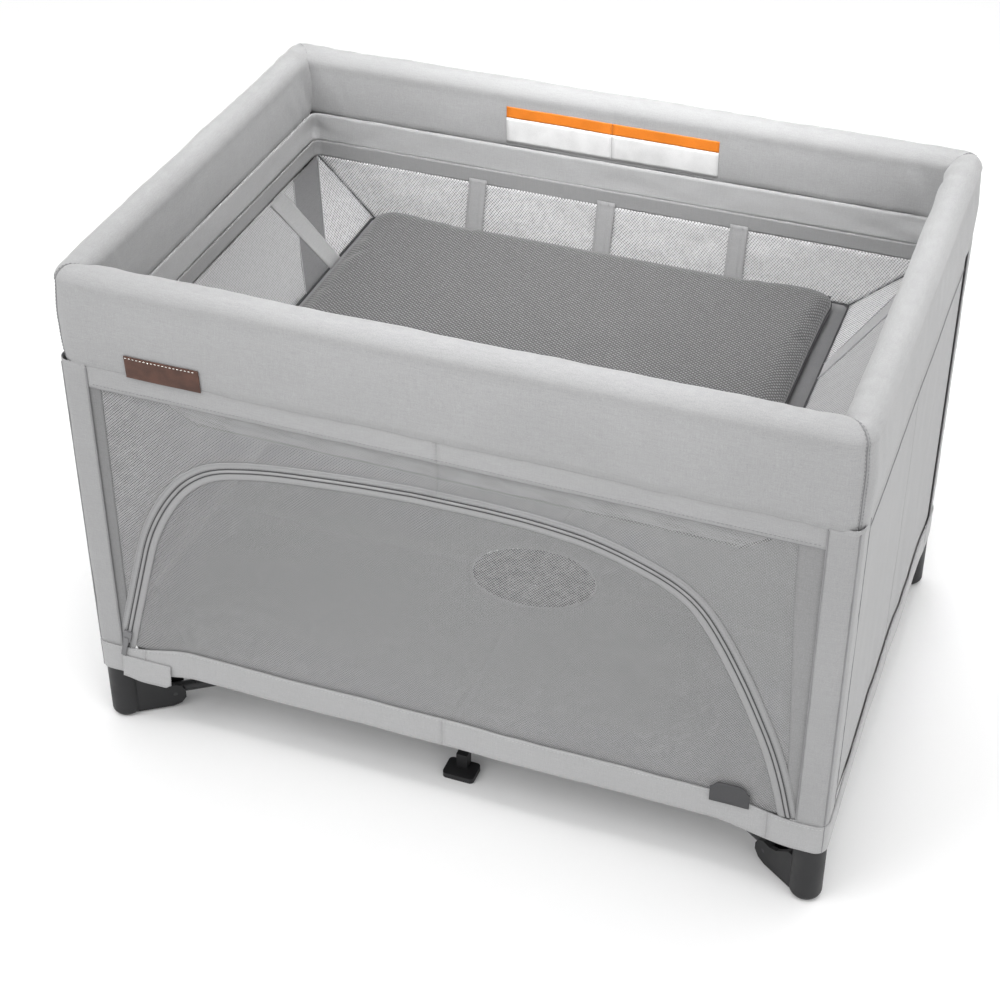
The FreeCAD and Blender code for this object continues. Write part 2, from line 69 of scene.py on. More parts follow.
# ---- materials
def material(name, color, rough=0.8, sheen=0.0, spec=0.5):
    m = bpy.data.materials.new(name)
    m.use_nodes = True
    m.node_tree.nodes.clear()
    nodes, links = m.node_tree.nodes, m.node_tree.links
    out = nodes.new("ShaderNodeOutputMaterial")
    bsdf = nodes.new("ShaderNodeBsdfPrincipled")
    links.new(bsdf.outputs[0], out.inputs[0])
    bsdf.inputs["Base Color"].default_value = (*color, 1)
    bsdf.inputs["Roughness"].default_value = rough
    bsdf.inputs["Specular IOR Level"].default_value = spec
    if sheen:
        bsdf.inputs["Sheen Weight"].default_value = sheen
        bsdf.inputs["Sheen Roughness"].default_value = 0.5
    coords = nodes.new("ShaderNodeTexCoord")
    return m, nodes, links, bsdf, coords.outputs["Object"]


def scaled(nodes, links, vector, scale):
    mapping = nodes.new("ShaderNodeMapping")
    mapping.inputs["Scale"].default_value = scale
    links.new(vector, mapping.inputs["Vector"])
    return mapping.outputs[0]


def noise_of(nodes, links, vector, scale, detail=2.0, rough=0.5):
    n = nodes.new("ShaderNodeTexNoise")
    n.inputs["Scale"].default_value = scale
    n.inputs["Detail"].default_value = detail
    n.inputs["Roughness"].default_value = rough
    links.new(vector, n.inputs["Vector"])
    return n.outputs["Fac"]


def math_of(nodes, links, kind, a, b=None):
    n = nodes.new("ShaderNodeMath")
    n.operation = kind
    for socket, value in zip(n.inputs, (a, b)):
        if value is None:
            continue
        if isinstance(value, (int, float)):
            socket.default_value = value
        else:
            links.new(value, socket)
    return n.outputs[0]


def ramp(nodes, links, fac, low, high, dark, light):
    r = nodes.new("ShaderNodeValToRGB")
    r.color_ramp.elements[0].position = low
    r.color_ramp.elements[0].color = (*dark, 1)
    r.color_ramp.elements[1].position = high
    r.color_ramp.elements[1].color = (*light, 1)
    links.new(fac, r.inputs[0])
    return r.outputs[0]


def span(nodes, links, value, low, high, out_low, out_high):
    r = nodes.new("ShaderNodeMapRange")
    r.inputs["From Min"].default_value = low
    r.inputs["From Max"].default_value = high
    r.inputs["To Min"].default_value = out_low
    r.inputs["To Max"].default_value = out_high
    links.new(value, r.inputs["Value"])
    return r.outputs["Result"]


def bump(nodes, links, bsdf, height, strength, distance):
    b = nodes.new("ShaderNodeBump")
    b.inputs["Strength"].default_value = strength
    b.inputs["Distance"].default_value = distance
    links.new(height, b.inputs["Height"])
    links.new(b.outputs[0], bsdf.inputs["Normal"])


def tint(color, k):
    return tuple(min(1.0, c * k) for c in color)


def heather(name, color, contrast=0.16, weave=900.0):
    """A melange plain weave: flecked yarn, fine threads both ways, and slow changes of tone."""
    m, nodes, links, bsdf, at = material(name, color, 0.9, 0.25, 0.2)
    fleck = noise_of(nodes, links, at, weave, 3, 0.7)
    across = noise_of(nodes, links, scaled(nodes, links, at, (1, 1, 14)), 70, 2)
    along = noise_of(nodes, links, scaled(nodes, links, at, (14, 14, 1)), 70, 2)
    tone = noise_of(nodes, links, at, 7, 2)
    total = math_of(nodes, links, "ADD", math_of(nodes, links, "MULTIPLY", fleck, 0.55),
                    math_of(nodes, links, "MULTIPLY", across, 0.2))
    total = math_of(nodes, links, "ADD", total, math_of(nodes, links, "MULTIPLY", along, 0.2))
    total = math_of(nodes, links, "ADD", total, math_of(nodes, links, "MULTIPLY", tone, 0.1))
    base = ramp(nodes, links, total, 0.36, 0.68, tint(color, 1 - contrast), tint(color, 1 + contrast))
    links.new(base, bsdf.inputs["Base Color"])
    bump(nodes, links, bsdf, total, 0.35, 0.0006)
    return m


def net(name, color, pitch, solid, open_share, through, upright=True, contrast=0.2):
    """Knitted mesh: threads round small holes that let light and sight through."""
    m, nodes, links, bsdf, at = material(name, color, 0.85, 0.15, 0.2)
    split = nodes.new("ShaderNodeSeparateXYZ")
    links.new(at, split.inputs[0])
    across = math_of(nodes, links, "ADD", split.outputs[0], split.outputs[1])
    along = split.outputs[2]
    if not upright:
        along = math_of(nodes, links, "SUBTRACT", split.outputs[0], split.outputs[1])
    rate = 2 * math.pi / pitch
    wave_a = math_of(nodes, links, "SINE", math_of(nodes, links, "MULTIPLY", across, rate))
    wave_b = math_of(nodes, links, "SINE", math_of(nodes, links, "MULTIPLY", along, rate))
    holes = math_of(nodes, links, "MULTIPLY", wave_a, wave_b)
    worn = noise_of(nodes, links, at, 160, 2)
    worn = math_of(nodes, links, "MULTIPLY", math_of(nodes, links, "SUBTRACT", worn, 0.5), 0.8)
    holes = math_of(nodes, links, "ADD", holes, worn)
    alpha = span(nodes, links, holes, open_share - 0.25, open_share + 0.25, solid, through)
    links.new(alpha, bsdf.inputs["Alpha"])
    base = ramp(nodes, links, holes, -0.5, 0.7, tint(color, 1 + contrast), tint(color, 1 - contrast))
    links.new(base, bsdf.inputs["Base Color"])
    bump(nodes, links, bsdf, holes, 0.3, 0.0008)
    return m


def spacer_mesh(name, color):
    """The mattress top: rows of small round cells."""
    m, nodes, links, bsdf, at = material(name, color, 0.9, 0.2, 0.2)
    cells = nodes.new("ShaderNodeTexVoronoi")
    cells.feature = "F1"
    cells.inputs["Scale"].default_value = 1.0
    cells.inputs["Randomness"].default_value = 0.0
    turned = nodes.new("ShaderNodeMapping")
    turned.inputs["Rotation"].default_value = (0, 0, math.radians(38))
    turned.inputs["Scale"].default_value = (230, 230, 1)
    links.new(at, turned.inputs["Vector"])
    links.new(turned.outputs[0], cells.inputs["Vector"])
    fleck = noise_of(nodes, links, at, 500, 2)
    height = math_of(nodes, links, "ADD", cells.outputs["Distance"],
                     math_of(nodes, links, "MULTIPLY", fleck, 0.25))
    base = ramp(nodes, links, height, 0.25, 0.75, tint(color, 1.9), tint(color, 0.2))
    links.new(base, bsdf.inputs["Base Color"])
    bump(nodes, links, bsdf, height, 0.8, 0.0012)
    return m


def moulded(name, color, rough=0.5):
    """Moulded plastic with a fine spark grain and paler, smoother wear; the near-black well and zip grooves
    use it too, their colour painted shade.
    """
    m, nodes, links, bsdf, at = material(name, color, rough, 0, 0.4)
    grain = noise_of(nodes, links, at, 1500, 2)
    cloud = noise_of(nodes, links, at, 30, 3)
    total = math_of(nodes, links, "ADD", math_of(nodes, links, "MULTIPLY", grain, 0.4),
                    math_of(nodes, links, "MULTIPLY", cloud, 0.6))
    links.new(ramp(nodes, links, total, 0.35, 0.65, tint(color, 0.9), tint(color, 1.15)),
              bsdf.inputs["Base Color"])
    links.new(span(nodes, links, cloud, 0.3, 0.7, rough - 0.08, rough + 0.1), bsdf.inputs["Roughness"])
    bump(nodes, links, bsdf, grain, 0.12, 0.0003)
    return m


def leather(name, color):
    m, nodes, links, bsdf, at = material(name, color, 0.55, 0, 0.4)
    grain = nodes.new("ShaderNodeTexVoronoi")
    grain.inputs["Scale"].default_value = 700
    links.new(at, grain.inputs["Vector"])
    cloud = noise_of(nodes, links, at, 60, 3)
    links.new(ramp(nodes, links, cloud, 0.3, 0.7, tint(color, 0.75), tint(color, 1.25)),
              bsdf.inputs["Base Color"])
    bump(nodes, links, bsdf, grain.outputs["Distance"], 0.35, 0.0004)
    return m


COVER = heather("cover_heather", (0.33, 0.33, 0.333))
END = heather("end_heather", (0.32, 0.32, 0.323), 0.14)
HEM = heather("hem_heather", (0.37, 0.37, 0.373), 0.13)
BAND = heather("band_heather", (0.36, 0.36, 0.363), 0.12)
STRIP = heather("strip_heather", (0.195, 0.195, 0.197), 0.2)
STRIP_PALE = heather("strip_pale", (0.25, 0.25, 0.252), 0.2)
WEBBING = heather("webbing", (0.25, 0.25, 0.252), 0.12, 1300)
# near-black grey, painted shade: the left end's corner cloth of the bassinet as it looks in shadow
SHADED_CORNER_PANEL = heather("corner_panel_painted_shade", (0.12, 0.12, 0.122), 0.16)
# the floor cloth's own grey, set darker as painted shade of the lower space under the bassinet
FLOOR_CLOTH_SHADED = heather("floor_cloth", (0.33, 0.33, 0.333), 0.10)
BOARD = heather("board_cloth", (0.13, 0.13, 0.132), 0.12)
BORDER = heather("mattress_border", (0.115, 0.115, 0.117), 0.14)
TAPE = heather("zip_tape", (0.30, 0.30, 0.303), 0.10, 1500)
NET = net("wall_net", (0.37, 0.37, 0.373), 0.0042, 0.64, 0.0, 0.10, True, 0.35)
DOOR_NET = net("door_net", (0.33, 0.33, 0.333), 0.0042, 0.62, 0.0, 0.14, True, 0.35)
TUB_NET = net("tub_net", (0.36, 0.36, 0.363), 0.0046, 0.94, 0.1, 0.5, True, 0.3)
END_NET = net("end_net", (0.27, 0.27, 0.272), 0.0040, 0.97, 0.35, 0.8)
SPACER = spacer_mesh("spacer_mesh", (0.27, 0.27, 0.272))
PIPING = moulded("dark_piping", (0.035, 0.035, 0.037), 0.7)
# near-black strips beside the zip coil: painted shade in the groove between coil and tape
GROOVE_PAINTED_SHADE = moulded("zip_groove_painted_shade", (0.06, 0.06, 0.062), 0.8)
COIL = moulded("zip_coil", (0.28, 0.28, 0.283), 0.6)
THREAD = moulded("pale_thread", (0.45, 0.45, 0.45), 0.8)
SEAM_THREAD = moulded("seam_thread", (0.24, 0.24, 0.245), 0.8)
WHITE_THREAD = moulded("white_thread", (0.8, 0.78, 0.74), 0.8)
FOOT = moulded("foot_plastic", (0.014, 0.014, 0.015), 0.5)
FRAME_PLASTIC = moulded("frame_plastic", (0.05, 0.05, 0.053), 0.5)
STEEL = moulded("powder_coat", (0.035, 0.035, 0.037), 0.35)
BUTTON = moulded("button_plastic", (0.30, 0.30, 0.31), 0.45)
SLIDER = moulded("slider_metal", (0.16, 0.16, 0.165), 0.35)
LEATHER = leather("tag_leather", (0.072, 0.030, 0.019))
RUBBER = moulded("hem_tag_rubber", (0.055, 0.055, 0.058), 0.6)
LABEL_WHITE = moulded("label_white", (0.62, 0.62, 0.62), 0.6)
LABEL_ORANGE = moulded("label_orange", (0.62, 0.17, 0.012), 0.6)
# near-black: painted shade, the dark recess under the floor's opening
WELL_PAINTED_SHADE = moulded("well_painted_shade", (0.030, 0.030, 0.032), 0.9)


# ---- mesh helpers
def add_object(name, verts, faces, mat, smooth=True):
    mesh = bpy.data.meshes.new(name)
    mesh.from_pydata([tuple(v) for v in verts], [], faces)
    mesh.validate()
    mesh.update()
    obj = bpy.data.objects.new(name, mesh)
    bpy.context.scene.collection.objects.link(obj)
    mesh.materials.append(mat)
    if smooth:
        mesh.polygons.foreach_set("use_smooth", [True] * len(mesh.polygons))
    return obj


def lattice(name, rows, mat, closed=False, caps=False):
    """A surface through rows of points; closed joins each row's ends."""
    count = len(rows[0])
    verts = [p for row in rows for p in row]
    faces = []
    for r in range(len(rows) - 1):
        for c in range(count if closed else count - 1):
            a, b = r * count + c, r * count + (c + 1) % count
            faces.append((a, b, b + count, a + count))
    if caps:
        for end in (rows[0], rows[-1]):
            faces.append(tuple(range(len(verts), len(verts) + count)))
            verts += end
    obj = add_object(name, verts, faces, mat)
    tidy_normals(obj)
    return obj


def tidy_normals(obj):
    bm = bmesh.new()
    bm.from_mesh(obj.data)
    bmesh.ops.recalc_face_normals(bm, faces=bm.faces)
    bm.to_mesh(obj.data)
    bm.free()


def apply_modifiers(obj):
    bpy.context.view_layer.update()
    graph = bpy.context.evaluated_depsgraph_get()
    made = bpy.data.meshes.new_from_object(obj.evaluated_get(graph))
    obj.modifiers.clear()
    obj.data = made
    return obj


def thicken(obj, thickness, offset=-1.0):
    mod = obj.modifiers.new("thickness", "SOLIDIFY")
    mod.thickness = thickness
    mod.offset = offset
    return apply_modifiers(obj)


def tube(name, points, radius, mat, sides=8, closed=False):
    """A round thread or pipe through the points."""
    points = [Vector(p) for p in points]
    rows = []
    count = len(points)
    for n, p in enumerate(points):
        before = points[n - 1] if n or closed else p
        after = points[(n + 1) % count] if n < count - 1 or closed else p
        along = (after - before).normalized()
        side = along.cross(Vector((0.13, 0.31, 0.94))).normalized()
        other = along.cross(side)
        rows.append([p + radius * (math.cos(a) * side + math.sin(a) * other)
                     for a in (2 * math.pi * k / sides for k in range(sides))])
    if closed:
        rows.append(rows[0])
    return lattice(name, rows, mat, closed=True, caps=not closed)


def stitches(name, points, mat, length=0.0032, gap=0.0020, radius=0.00045):
    """Thread that shows as a dash at each stitch along a line."""
    points = [Vector(p) for p in points]
    lengths = [0.0]
    for a, b in zip(points, points[1:]):
        lengths.append(lengths[-1] + (b - a).length)

    def at(distance):
        for n in range(len(points) - 1):
            if lengths[n + 1] >= distance:
                part = (distance - lengths[n]) / max(lengths[n + 1] - lengths[n], 1e-9)
                return points[n].lerp(points[n + 1], part)
        return points[-1]

    verts, faces = [], []
    start = 0.0
    while start + length < lengths[-1]:
        a, b = at(start), at(start + length)
        along = (b - a).normalized()
        side = along.cross(Vector((0.13, 0.31, 0.94))).normalized()
        other = along.cross(side)
        base = len(verts)
        for share, grow in ((0, 0.4), (0.3, 1), (0.7, 1), (1, 0.4)):
            p = a.lerp(b, share)
            for k in range(5):
                angle = 2 * math.pi * k / 5
                verts.append(p + radius * grow * (math.cos(angle) * side + math.sin(angle) * other))
        for ring in range(3):
            for k in range(5):
                i, j = base + ring * 5 + k, base + ring * 5 + (k + 1) % 5
                faces.append((i, j, j + 5, i + 5))
        faces.append(tuple(base + k for k in range(5))[::-1])
        faces.append(tuple(base + 15 + k for k in range(5)))
        start += length + gap
    return add_object(name, verts, faces, mat)


def lump(p, scale, seed=0.0):
    """Smooth noise from -1 to 1 at a point."""
    return noise.noise(Vector((p[0] * scale + seed, p[1] * scale - seed, p[2] * scale + 2 * seed)))


def smooth(x):
    x = max(0.0, min(1.0, x))
    return x * x * (3 - 2 * x)


def outward(c, d, move, z):
    """The point at height z, moved from c along the direction d."""
    return Vector((c[0] + d[0] * move, c[1] + d[1] * move, z))


def ride_as_cloth(obj, body):
    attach(obj, body)


# ---- padded rail cover
def cover_section(steps=9):
    """Closed outline of the cover: (outward, height), from the outer bottom over the top."""
    r = HALF_COVER
    mid = COVER_TOP - r
    out = []
    for n in range(steps + 1):
        z = COVER_LOW + 0.004 + (mid - COVER_LOW - 0.004) * n / steps
        out.append((r - 0.0015 + 0.0025 * math.sin(math.pi * n / steps), z))
    for n in range(1, 13):
        a = math.pi * n / 13
        out.append((r * math.cos(a), mid + r * math.sin(a)))
    for n in range(steps):
        z = mid - (mid - INNER_LOW - 0.004) * n / (steps - 1)
        out.append((-r + 0.001 - 0.0022 * math.sin(math.pi * n / steps), z))
    out += [(-r + 0.004, INNER_LOW), (-r + 0.008, INNER_LOW - 0.003), (-r + 0.010, 0.612),
            (-r + 0.013, COVER_LOW + 0.002), (0.0, COVER_LOW + 0.001), (r - 0.005, COVER_LOW + 0.0005)]
    return out


SECTION = cover_section()


def cover_ring(centre, outward, tight=0.0):
    """The cover's outline at one place along the rail, with lumps and creases by place."""
    ring = []
    middle = Vector((centre[0], centre[1], RAIL_Z))
    near = min(abs(abs(centre[0]) - POST_X) + abs(abs(centre[1]) - POST_Y), 0.2)
    crease = max(0.0, 1 - near / 0.13)
    for a, z in SECTION:
        p = Vector((centre[0] + outward[0] * a, centre[1] + outward[1] * a, z))
        away = p - middle
        away.z *= 0.4
        away = away.normalized()
        fold = noise.noise(Vector((centre[0] * 48 + centre[1] * 48 + z * 22, z * 9, 3.1)))
        fold = math.copysign(abs(fold) ** 0.7, fold)
        move = 0.0014 * lump(p, 11) + 0.0007 * lump(p, 38, 4.0)
        move += crease * 0.0034 * fold * (1.0 if a < 0.004 else 0.35)
        if z < INNER_LOW - 0.001 and a < 0.012:
            move = 0.0
        ring.append(p + away * (move - tight))
    return ring


def cover_run(name, start, end, outward, steps):
    rows = []
    for n in range(steps + 1):
        t = n / steps
        centre = (start[0] + (end[0] - start[0]) * t, start[1] + (end[1] - start[1]) * t)
        rows.append(cover_ring(centre, outward))
    return lattice(name, rows, COVER, closed=True, caps=True)


TURN_RADIUS = 0.0075


def corner_path(sx, sy, reach_x, reach_y, steps=18):
    """Centre points and outward directions round one corner, from the long side to the short one."""
    cx, cy = POST_X - TURN_RADIUS, POST_Y - TURN_RADIUS
    path = []
    for n in range(9):
        path.append(((reach_x + (cx - reach_x) * n / 8, POST_Y), (0, 1)))
    for n in range(1, steps):
        a = math.pi / 2 * (1 - n / steps)
        d = (math.cos(a), math.sin(a))
        path.append(((cx + TURN_RADIUS * d[0], cy + TURN_RADIUS * d[1]), d))
    for n in range(7):
        path.append(((POST_X, cy + (reach_y - cy) * n / 6), (1, 0)))
    return [((sx * c[0], sy * c[1]), (sx * d[0], sy * d[1])) for c, d in path]


def pad_cover(obj, node, body):
    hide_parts(node)
    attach(obj, body)


def flatten_rail(obj):
    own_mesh(obj)


def rail_cover():
    for name, (sx, sy) in CORNERS.items():
        half = cover_run(f"cover_long_{name}", (sx * PIVOT_X, sy * POST_Y), (0, sy * POST_Y), (0, sy), 70)
        pad_cover(half, f"cover_{name}_long", f"long_{name}")
        flatten_rail(half)
        half = cover_run(f"cover_short_{name}", (sx * POST_X, sy * PIVOT_Y), (sx * POST_X, 0), (sx, 0), 52)
        pad_cover(half, f"cover_{name}_short", f"short_{name}")
        flatten_rail(half)
        path = corner_path(sx, sy, PIVOT_X, PIVOT_Y)
        middle = 17
        rows = []
        for n, (c, d) in enumerate(path):
            pull = 0.0016 * math.exp(-((n - middle) / 0.8) ** 2)
            rows.append(cover_ring(c, d, pull))
        corner = lattice(f"cover_corner_{name}", rows, COVER, closed=True, caps=True)
        pad_cover(corner, f"cover_corner_{name}", f"corner_{name}")
        last = len(SECTION) - 7
        for side, step in (("a", -1), ("b", 1)):
            c, d = path[middle + step]
            ring = cover_ring(c, d, -0.0002)[:last]
            thread = stitches(f"corner_stitch_{side}_{name}", ring, SEAM_THREAD)
            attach(thread, f"corner_{name}")
        c, d = path[middle]
        seam = tube(f"corner_seam_{name}", cover_ring(c, d, 0.0008)[:last], 0.0007, SEAM_THREAD, 6)
        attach(seam, f"corner_{name}")


rail_cover()


# ---- zipped door's arch
# the zip line in the front wall's plane: (along, height)
ARCH = [
    (-0.4725, 0.142), (-0.4710, 0.147), (-0.4585, 0.193), (-0.4450, 0.243), (-0.4315, 0.293),
    (-0.4180, 0.342), (-0.3990, 0.386), (-0.3750, 0.426), (-0.3470, 0.459), (-0.3090, 0.484),
    (-0.2500, 0.498), (-0.1880, 0.507), (-0.0510, 0.518), (0.0810, 0.520), (0.1500, 0.516),
    (0.2090, 0.507), (0.2730, 0.486), (0.3100, 0.468), (0.3370, 0.446), (0.3650, 0.405),
    (0.3930, 0.352), (0.4170, 0.300), (0.4390, 0.249), (0.4560, 0.193), (0.4660, 0.149),
    (0.4680, 0.142),
]


def fair(points, rounds=2):
    """Chaikin's corner cutting, keeping the ends."""
    for _ in range(rounds):
        new = [points[0]]
        for a, b in zip(points, points[1:]):
            new.append((a[0] * 0.75 + b[0] * 0.25, a[1] * 0.75 + b[1] * 0.25))
            new.append((a[0] * 0.25 + b[0] * 0.75, a[1] * 0.25 + b[1] * 0.75))
        points = new + [points[-1]]
    return points


ARCH_LINE = fair(ARCH)


def arch_height(x):
    for (x0, z0), (x1, z1) in zip(ARCH_LINE, ARCH_LINE[1:]):
        if x0 <= x <= x1 and x1 > x0:
            return z0 + (z1 - z0) * (x - x0) / (x1 - x0)
    return HEM_TOP


def arch_offset(distance):
    """The arch's line moved outwards by a distance, in the wall's plane."""
    out = []
    for n, (x, z) in enumerate(ARCH_LINE):
        a = ARCH_LINE[max(n - 1, 0)]
        b = ARCH_LINE[min(n + 1, len(ARCH_LINE) - 1)]
        t = Vector((b[0] - a[0], b[1] - a[1])).normalized()
        out.append((x - t.y * distance, z + t.x * distance))
    return out


def wall_wave(x, z, half=INNER_X):
    """How far the stretched cloth of a wall lies outside its plane; none at its sewn edges."""
    free = smooth((half - 0.012 - abs(x)) / 0.05) * smooth((0.60 - z) / 0.05)
    wave = 0.0016 * noise.noise(Vector((x * 9, z * 4, 1.7)))
    wave += 0.0007 * noise.noise(Vector((x * 31, z * 12, 5.2)))
    return free * wave


def arch_strip(name, low, high, depth, mat, keep_if, rise=0.0):
    """A tape along the arch between two offsets, for the points that keep_if takes."""
    inner, outer = arch_offset(low), arch_offset(high)
    rows = []
    for (ax, az), (bx, bz) in zip(inner, outer):
        if not keep_if((ax + bx) / 2):
            continue
        row = []
        for k in range(5):
            t = k / 4
            x, z = ax + (bx - ax) * t, max(HEM_TOP - 0.004, az + (bz - az) * t)
            y = -WALL_Y - depth - rise * math.sin(math.pi * t) - wall_wave(x, z)
            row.append(Vector((x, y, z)))
        rows.append(row)
    obj = lattice(name, rows, mat)
    return thicken(obj, 0.0008, 0)


# ---- walls
def panel(name, xs, low, high, place, mat, rows=26, thickness=0.0007):
    """A wall of cloth from low(x) to high(x), put in place by a function of (x, z)."""
    grid = []
    for x in xs:
        a, b = low(x), high(x)
        grid.append([place(x, a + (b - a) * k / rows) for k in range(rows + 1)])
    return thicken(lattice(name, grid, mat), thickness, 0)


def linspace(a, b, n):
    return [a + (b - a) * k / n for k in range(n + 1)]


def long_place(side, extra=0.0):
    return lambda x, z: Vector((x, side * (WALL_Y + extra + wall_wave(x, z)), z))


def short_place(side, extra=0.0):
    return lambda y, z: Vector((side * (WALL_X + extra + wall_wave(y, z, INNER_Y)), y, z))


def hem_low(along, half):
    """The hem's lower edge hangs lowest at the corners."""
    return HEM_LOW + 0.018 * smooth((half - 0.020 - abs(along)) / 0.11)


def finish_wall(obj, body):
    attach(obj, body)
    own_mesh(obj)


def tapered(top, bottom, z):
    t = smooth((z - HEM_TOP) / (BAND_LOW - HEM_TOP))
    return bottom + (top - bottom) * t


def long_wall(side, name):
    """Front or back: two halves of mesh with a band above, strips beside the corners, and a hem."""
    front = side < 0
    for sx, letter in ((-1, "l"), (1, "r")):
        body = f"corner_{'f' if front else 'b'}{letter}"

        def sew(obj, slot_name):
            finish_wall(obj, body)

        xs = linspace(0, sx * 0.490, 90)
        low = (lambda x: arch_height(x)) if front else (lambda x: HEM_TOP - 0.002)
        mesh = panel(f"{name}_mesh_{letter}", xs, low, lambda x: COVER_LOW + 0.004, long_place(side), NET)
        if sx < 0 and front:
            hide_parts("wall_front")
        if sx < 0 and not front:
            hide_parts("wall_back")
        sew(mesh, "wall_mesh")
        band = panel(f"{name}_band_{letter}", linspace(0, sx * 0.485, 60), lambda x: BAND_LOW,
                     lambda x: COVER_LOW + 0.006, long_place(side, 0.0017), COVER, 8, 0.0011)
        sew(band, "cover_cloth")
        seam = stitches(f"{name}_band_stitch_{letter}",
                        [long_place(side, 0.0025)(x, BAND_LOW + 0.005) for x in linspace(0, sx * 0.476, 60)],
                        SEAM_THREAD)
        sew(seam, "cover_cloth")
        edge = tube(f"{name}_band_edge_{letter}",
                    [long_place(side, 0.0018)(x, BAND_LOW) for x in linspace(0, sx * 0.476, 60)],
                    0.0008, SEAM_THREAD, 6)
        sew(edge, "cover_cloth")
        rows = []
        for z in linspace(HEM_TOP - 0.002, COVER_LOW + 0.004, 40):
            inner = tapered(0.461 if sx < 0 else 0.446, 0.463, z)
            rows.append([long_place(side, 0.0009)(sx * x, z) for x in linspace(inner, INNER_X + 0.006, 8)])
        strip = thicken(lattice(f"{name}_strip_{letter}", rows, STRIP if sx < 0 else STRIP_PALE), 0.0007, 0)
        sew(strip, "end_cloth")
        hem = panel(f"{name}_hem_{letter}", linspace(0, sx * 0.442, 60), lambda x: hem_low(x, POST_X),
                    lambda x: hem_low(x, POST_X) + HEM_TALL, long_place(side, 0.0034), HEM, 10, 0.0020)
        sew(hem, "end_cloth")
        line = [long_place(side, 0.0047)(x, hem_low(x, POST_X) + HEM_TALL - 0.004)
                for x in linspace(0, sx * 0.442, 80)]
        sewn = stitches(f"{name}_hem_stitch_{letter}", line, THREAD)
        sew(sewn, "end_cloth")


def short_wall(side, name):
    """Left or right end: two halves of closed cloth, with a band seam and a hem."""
    for sy, letter in ((-1, "f"), (1, "b")):
        body = f"corner_{letter}{'l' if side < 0 else 'r'}"

        def sew(obj, slot_name):
            finish_wall(obj, body)

        cloth = panel(f"{name}_cloth_{letter}", linspace(0, sy * INNER_Y, 60), lambda y: HEM_TOP - 0.002,
                      lambda y: COVER_LOW + 0.006, short_place(side), END, 40, 0.0010)
        if sy < 0:
            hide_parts(f"wall_{name}")
        sew(cloth, "end_cloth")
        seam = tube(f"{name}_band_edge_{letter}",
                    [short_place(side, 0.0008)(y, BAND_LOW) for y in linspace(0, sy * INNER_Y, 40)],
                    0.0008, SEAM_THREAD, 6)
        sew(seam, "end_cloth")
        hem = panel(f"{name}_hem_{letter}", linspace(0, sy * 0.286, 40), lambda y: hem_low(y, POST_Y),
                    lambda y: hem_low(y, POST_Y) + HEM_TALL, short_place(side, 0.0034), HEM, 10, 0.0020)
        sew(hem, "end_cloth")
        line = [short_place(side, 0.0047)(y, hem_low(y, POST_Y) + HEM_TALL - 0.004)
                for y in linspace(0, sy * 0.286, 60)]
        sewn = stitches(f"{name}_hem_stitch_{letter}", line, THREAD)
        sew(sewn, "end_cloth")


MID_TURN = 14


def round_corner(sx, sy, run_x, run_y, radius, out_x, out_y, steps=12):
    """Points and outward directions round a cloth corner, from the long side to the short one."""
    cx, cy = out_x - radius, out_y - radius
    path = [((run_x + (cx - run_x) * n / 8, out_y), (0, 1)) for n in range(9)]
    for n in range(1, steps):
        a = math.pi / 2 * (1 - n / steps)
        path.append(((cx + radius * math.cos(a), cy + radius * math.sin(a)), (math.cos(a), math.sin(a))))
    path += [((out_x, cy + (run_y - cy) * n / 8), (1, 0)) for n in range(9)]
    return [((sx * c[0], sy * c[1]), (sx * d[0], sy * d[1])) for c, d in path]


def wall_corner(name, sx, sy):
    """Cloth that wraps the post, its corner seam, and the hem that flares over the foot."""
    body = f"corner_{name}"
    path = round_corner(sx, sy, INNER_X, INNER_Y, 0.014, WALL_X + 0.0028, WALL_Y + 0.0028)
    rows = []
    for (c, d) in path:
        row = []
        for z in linspace(HEM_TOP - 0.002, COVER_LOW + 0.006, 50):
            wave = 0.0005 * lump((c[0], c[1], z), 24) + 0.0005 * lump((c[0] * 2, c[1] * 2, z * 3), 50)
            row.append(outward(c, d, wave, z))
        rows.append(row)
    cloth = thicken(lattice(f"corner_cloth_{name}", rows, END), 0.0010, 0)
    ride_as_cloth(cloth, body)
    c, d = path[MID_TURN]
    heights = linspace(HEM_TOP, COVER_LOW, 30)
    seam = tube(f"corner_edge_{name}", [outward(c, d, 0.0008, z) for z in heights], 0.0011, SEAM_THREAD, 6)
    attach(seam, body)
    for step, side in ((0, "long"), (-1, "short")):
        c, d = path[step]
        line = [outward(c, d, 0.0004, z) for z in heights]
        edge = tube(f"corner_edge_{side}_{name}", line, 0.0010, SEAM_THREAD, 6)
        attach(edge, body)
    path = round_corner(sx, sy, 0.442, 0.286, 0.016, WALL_X + 0.0036, WALL_Y + 0.0036)
    rows = []
    for (c, d) in path:
        long_side = abs(d[1]) > abs(d[0])
        base = hem_low(c[0], POST_X) if long_side else hem_low(c[1], POST_Y)
        row = []
        for z in linspace(base, base + HEM_TALL, 12):
            wave = 0.0006 * lump((c[0], c[1], z), 60)
            row.append(outward(c, d, wave, z))
        rows.append(row)
    hem = thicken(lattice(f"hem_corner_{name}", rows, HEM), 0.0020, 0)
    ride_as_cloth(hem, body)
    line = [row[-2] + Vector((d[0], d[1], 0)) * 0.0013 for row, (c, d) in zip(rows, path)]
    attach(stitches(f"hem_corner_stitch_{name}", line, THREAD), body)
    c, d = path[MID_TURN]
    ring = rows[MID_TURN]
    seam = tube(f"hem_corner_seam_{name}", [p + Vector((d[0], d[1], 0)) * 0.001 for p in ring],
                0.0008, SEAM_THREAD, 6)
    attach(seam, body)


long_wall(-1, "front")
long_wall(1, "back")
short_wall(-1, "left")
short_wall(1, "right")
for corner, (sx, sy) in CORNERS.items():
    wall_corner(corner, sx, sy)


